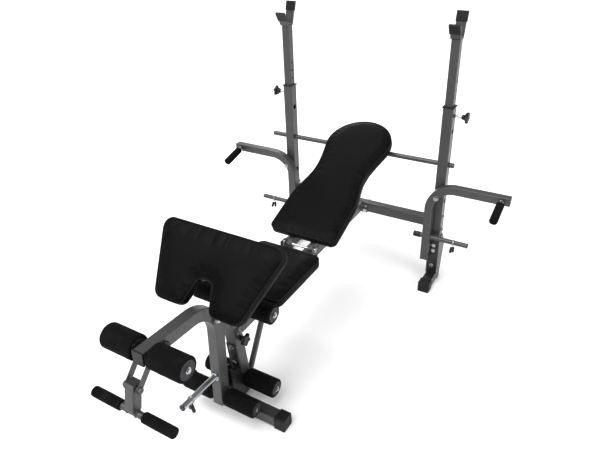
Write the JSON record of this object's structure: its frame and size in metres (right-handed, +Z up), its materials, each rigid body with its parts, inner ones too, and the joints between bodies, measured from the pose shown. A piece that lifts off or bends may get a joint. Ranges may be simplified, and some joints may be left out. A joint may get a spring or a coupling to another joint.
{
  "type": "weight bench with barbell rack",
  "caption": "Adjustable weight bench with a bar rack, butterfly arms, arm curl pad, leg developer and padded rollers, on a square-tube steel frame.",
  "frame": {"origin": "on the floor, at the middle of the footprint in length and width", "axes": "+X across the bench to the right of someone facing the rack, +Y along the bench towards the rack, +Z up"},
  "size_m": [1.558, 1.8255, 1.3853],
  "materials": {
    "grey_enamel": "satin gunmetal powder coat",
    "dark_enamel": "gloss black powder coat",
    "black_vinyl": "grained upholstery vinyl",
    "black_foam": "closed-cell foam",
    "black_rubber": "moulded rubber",
    "black_plastic": "moulded plastic",
    "chrome_plate": "chrome plated",
    "zinc_plate": "bright zinc plated"
  },
  "bodies": {
    "root": {"rear_upright_left": "grey_enamel", "rear_upright_right": "grey_enamel", "upright_collars": "black_plastic", "rear_foot_left": "dark_enamel", "rear_foot_right": "dark_enamel", "rear_foot_shoes": "black_rubber", "rear_crossbeam": "grey_enamel", "main_beam": "grey_enamel", "front_post": "grey_enamel", "front_post_bracket": "dark_enamel", "front_base_tube": "grey_enamel", "front_base_shoes": "black_rubber", "diagonal_brace": "grey_enamel", "seat_frame": "grey_enamel", "seat_pad": "black_vinyl", "knee_roller_axle": "chrome_plate", "foot_roller_axle": "chrome_plate", "stop_bumper": "black_rubber", "frame_bolts": "zinc_plate", "pivot_pins": "zinc_plate"},
    "inner_upright_left": {"inner_upright_left": "grey_enamel", "fork_sleeves_left": "black_plastic"},
    "upright_knob_left": {"upright_knob_left": "black_plastic", "upright_stud_left": "zinc_plate"},
    "butterfly_arm_left": {"butterfly_arm_left": "grey_enamel", "butterfly_handle_left": "chrome_plate", "butterfly_grip_left": "black_foam", "butterfly_plugs_left": "black_plastic"},
    "peg_clip_left": {"peg_clip_left": "black_plastic"},
    "knee_roller_left": {"knee_roller_left": "black_foam"},
    "foot_roller_left": {"foot_roller_left": "black_foam"},
    "thigh_roller_left": {"thigh_roller_left": "black_foam"},
    "ankle_roller_left": {"ankle_roller_left": "black_foam"},
    "inner_upright_right": {"inner_upright_right": "grey_enamel", "fork_sleeves_right": "black_plastic"},
    "upright_knob_right": {"upright_knob_right": "black_plastic", "upright_stud_right": "zinc_plate"},
    "butterfly_arm_right": {"butterfly_arm_right": "grey_enamel", "butterfly_handle_right": "chrome_plate", "butterfly_grip_right": "black_foam", "butterfly_plugs_right": "black_plastic"},
    "peg_clip_right": {"peg_clip_right": "black_plastic"},
    "knee_roller_right": {"knee_roller_right": "black_foam"},
    "foot_roller_right": {"foot_roller_right": "black_foam"},
    "thigh_roller_right": {"thigh_roller_right": "black_foam"},
    "ankle_roller_right": {"ankle_roller_right": "black_foam"},
    "incline_bar": {"incline_bar": "grey_enamel"},
    "backrest": {"backrest_frame": "grey_enamel", "backrest_pad": "black_vinyl"},
    "leg_developer": {"leg_developer_arm": "grey_enamel", "leg_developer_rods": "chrome_plate", "leg_developer_plugs": "black_plastic"},
    "leg_peg_clip": {"leg_peg_clip": "black_plastic"},
    "curl_links": {"curl_links": "grey_enamel"},
    "curl_bar": {"curl_bar": "grey_enamel", "curl_grips": "black_foam"},
    "curl_pad": {"curl_pad_post": "grey_enamel", "curl_pad": "black_vinyl"},
    "curl_pad_knob": {"curl_pad_knob": "black_plastic", "curl_pad_stud": "zinc_plate"}
  },
  "joints": [
    {"name": "inner_upright_left_slide", "type": "slide", "parent": "root", "child": "inner_upright_left", "axis": [0, 0, 1], "range_m": [-0.16, 0.04]},
    {"name": "upright_knob_left_turn", "type": "hinge", "parent": "root", "child": "upright_knob_left", "pos_m": [-0.494, 0.80018, 0.933], "axis": [-1, 0, 0], "continuous": true},
    {"name": "butterfly_arm_left_swing", "type": "hinge", "parent": "root", "child": "butterfly_arm_left", "pos_m": [-0.434, 0.74568, 0.53], "axis": [0, 1, 0], "range_deg": [0, 75]},
    {"name": "peg_clip_left_slide", "type": "slide", "parent": "butterfly_arm_left", "child": "peg_clip_left", "axis": [-1, 0, 0], "range_m": [-0.105, 0.058]},
    {"name": "knee_roller_left_spin", "type": "hinge", "parent": "root", "child": "knee_roller_left", "pos_m": [0, -0.34982, 0.487], "axis": [1, 0, 0], "continuous": true},
    {"name": "foot_roller_left_spin", "type": "hinge", "parent": "root", "child": "foot_roller_left", "pos_m": [0, -0.35786, 0.104], "axis": [1, 0, 0], "continuous": true},
    {"name": "thigh_roller_left_spin", "type": "hinge", "parent": "leg_developer", "child": "thigh_roller_left", "pos_m": [0, -0.79242, 0.59388], "axis": [1, 0, 0], "continuous": true},
    {"name": "ankle_roller_left_spin", "type": "hinge", "parent": "leg_developer", "child": "ankle_roller_left", "pos_m": [0, -0.49661, 0.1221], "axis": [1, 0, 0], "continuous": true},
    {"name": "inner_upright_right_slide", "type": "slide", "parent": "root", "child": "inner_upright_right", "axis": [0, 0, 1], "range_m": [-0.16, 0.04]},
    {"name": "upright_knob_right_turn", "type": "hinge", "parent": "root", "child": "upright_knob_right", "pos_m": [0.494, 0.80018, 0.933], "axis": [1, 0, 0], "continuous": true},
    {"name": "butterfly_arm_right_swing", "type": "hinge", "parent": "root", "child": "butterfly_arm_right", "pos_m": [0.434, 0.74568, 0.53], "axis": [0, -1, 0], "range_deg": [0, 75]},
    {"name": "peg_clip_right_slide", "type": "slide", "parent": "butterfly_arm_right", "child": "peg_clip_right", "axis": [1, 0, 0], "range_m": [-0.105, 0.058]},
    {"name": "knee_roller_right_spin", "type": "hinge", "parent": "root", "child": "knee_roller_right", "pos_m": [0, -0.34982, 0.487], "axis": [1, 0, 0], "continuous": true},
    {"name": "foot_roller_right_spin", "type": "hinge", "parent": "root", "child": "foot_roller_right", "pos_m": [0, -0.35786, 0.104], "axis": [1, 0, 0], "continuous": true},
    {"name": "thigh_roller_right_spin", "type": "hinge", "parent": "leg_developer", "child": "thigh_roller_right", "pos_m": [0, -0.79242, 0.59388], "axis": [1, 0, 0], "continuous": true},
    {"name": "ankle_roller_right_spin", "type": "hinge", "parent": "leg_developer", "child": "ankle_roller_right", "pos_m": [0, -0.49661, 0.1221], "axis": [1, 0, 0], "continuous": true},
    {"name": "incline_bar_slide", "type": "slide", "parent": "root", "child": "incline_bar", "axis": [1, 0, 0], "range_m": [-0.02, 0.08]},
    {"name": "backrest_hinge", "type": "hinge", "parent": "root", "child": "backrest", "pos_m": [0, 0.14118, 0.458], "axis": [1, 0, 0], "range_deg": [0, 60]},
    {"name": "leg_developer_swing", "type": "hinge", "parent": "root", "child": "leg_developer", "pos_m": [0, -0.48713, 0.50737], "axis": [-1, 0, 0], "range_deg": [0, 33]},
    {"name": "leg_peg_clip_slide", "type": "slide", "parent": "leg_developer", "child": "leg_peg_clip", "axis": [0, -0.9976, 0.0698], "range_m": [-0.118, 0.04]},
    {"name": "curl_links_swing", "type": "hinge", "parent": "leg_developer", "child": "curl_links", "pos_m": [0, -0.79242, 0.59388], "axis": [-1, 0, 0], "range_deg": [0, 28]},
    {"name": "curl_bar_swing", "type": "hinge", "parent": "curl_links", "child": "curl_bar", "pos_m": [0, -0.87182, 0.512], "axis": [-1, 0, 0], "range_deg": [-25, 60]},
    {"name": "curl_pad_slide", "type": "slide", "parent": "root", "child": "curl_pad", "axis": [0, -0.0872, 0.9962], "range_m": [0, 0.08]},
    {"name": "curl_pad_knob_turn", "type": "hinge", "parent": "root", "child": "curl_pad_knob", "pos_m": [0.049, -0.37799, 0.334], "axis": [1, 0, 0], "continuous": true}
  ]
}
